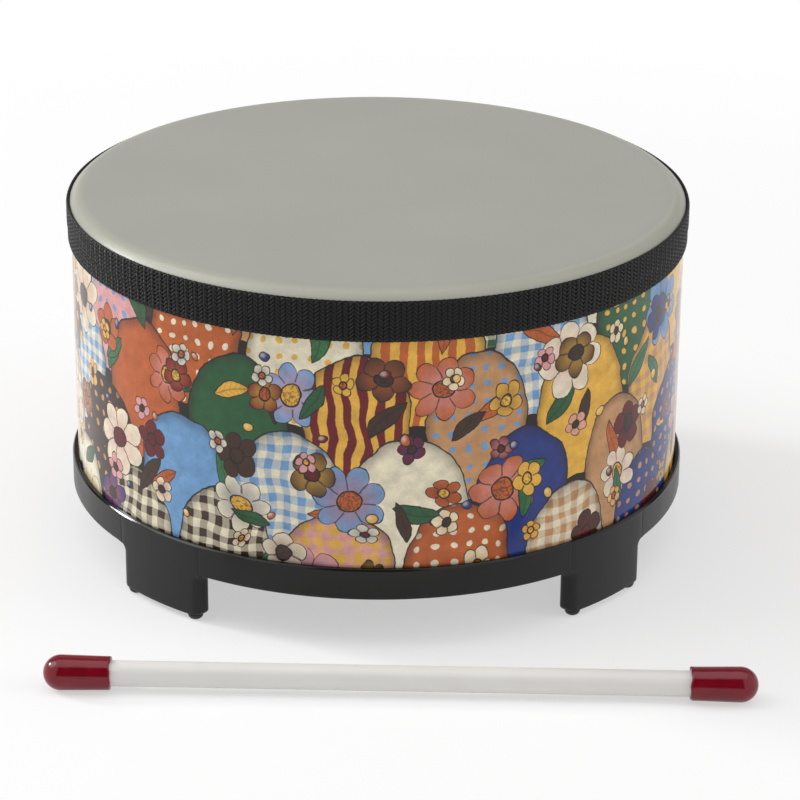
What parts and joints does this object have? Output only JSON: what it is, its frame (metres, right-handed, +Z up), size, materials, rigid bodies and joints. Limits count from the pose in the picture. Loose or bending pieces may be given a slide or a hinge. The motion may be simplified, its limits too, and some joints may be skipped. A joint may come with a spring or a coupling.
{
  "type": "floor tom",
  "caption": "Children's floor tom: round shell with printed wrap, bonded grey head, black webbing band, black moulded base ring with short feet, and a white mallet with red caps.",
  "frame": {"origin": "on the floor, at the middle of the footprint of the drum and its mallet together; the drum's axis is at x -3.6 mm, y +26.4 mm", "axes": "+Z up along the drum's axis, -Y towards the side where the mallet lies, +X to the right as seen from that side"},
  "size_m": [0.273, 0.313, 0.1488],
  "materials": {
    "grey_head": "matt grey drumhead film with a fine fibrous texture",
    "black_webbing": "herringbone woven black webbing",
    "printed_wrap": null,
    "fibre_shell": "plain wound wood-fibre board",
    "black_plastic": "satin moulded black plastic",
    "black_rubber": "soft black rubber",
    "zinc_steel": "bright zinc-plated steel",
    "white_rod": "satin milky white plastic rod",
    "red_cap": "glossy deep red dipped vinyl"
  },
  "bodies": {
    "drum": {"head_skin": "grey_head", "head_band": "black_webbing", "shell_wrap": "printed_wrap", "shell": "fibre_shell", "base_ring": "black_plastic", "foot_bumper_1": "black_rubber", "foot_bumper_2": "black_rubber", "foot_bumper_3": "black_rubber", "foot_bumper_4": "black_rubber", "foot_bumper_5": "black_rubber", "foot_bumper_6": "black_rubber", "foot_bumper_7": "black_rubber", "foot_bumper_8": "black_rubber", "base_screw_1": "zinc_steel", "base_screw_2": "zinc_steel", "base_screw_3": "zinc_steel", "base_screw_4": "zinc_steel"},
    "mallet": {"mallet_rod": "white_rod", "mallet_cap_right": "red_cap", "mallet_cap_left": "red_cap"}
  },
  "joints": [
    {"name": "mallet_lift", "type": "slide", "parent": "drum", "child": "mallet", "axis": [0, 0, 1], "range_m": [0, 0.2]}
  ]
}
